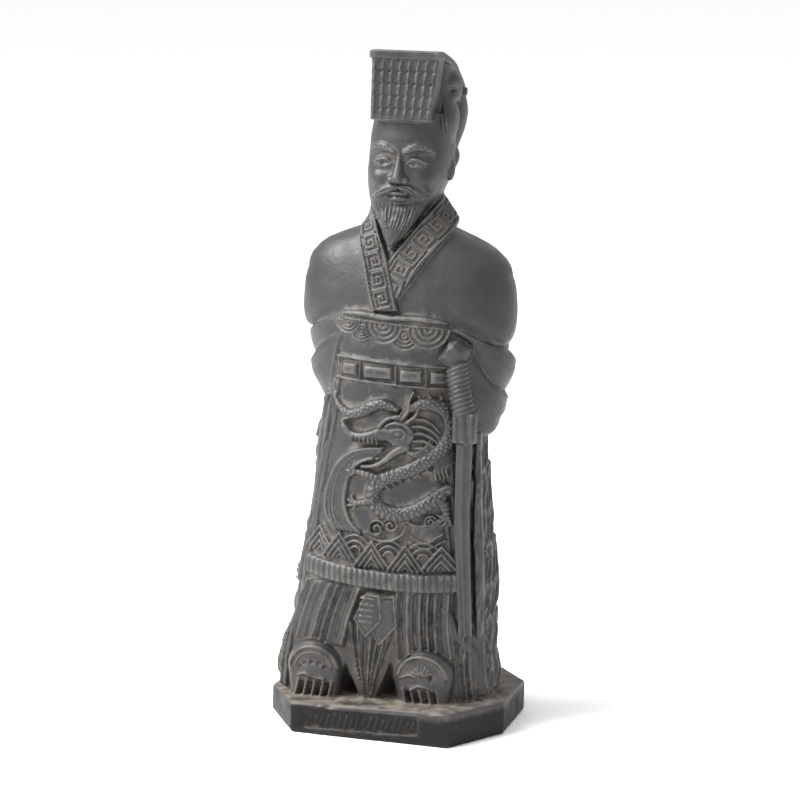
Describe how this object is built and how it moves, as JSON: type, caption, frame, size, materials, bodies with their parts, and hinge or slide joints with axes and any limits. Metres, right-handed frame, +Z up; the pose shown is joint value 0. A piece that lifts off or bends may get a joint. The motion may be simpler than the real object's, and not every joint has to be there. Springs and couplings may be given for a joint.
{
  "type": "fired clay statuette of a standing robed emperor",
  "caption": "Standing robed ruler with a beaded crown, long beard and sword, carved dragon on the robe, hands behind the back, on a low chamfered plinth",
  "frame": {"origin": "the middle of the plinth's underside, which rests on the table", "axes": "+Z is up, the figure's face looks along -Y, +X is towards its left hand"},
  "size_m": [0.1044, 0.088, 0.29],
  "materials": {
    "fired_clay": "matt dark slate-grey fired clay with paler worn ridges and tan dust in the hollows"
  },
  "bodies": {
    "root": {"statue": "fired_clay"}
  },
  "joints": []
}
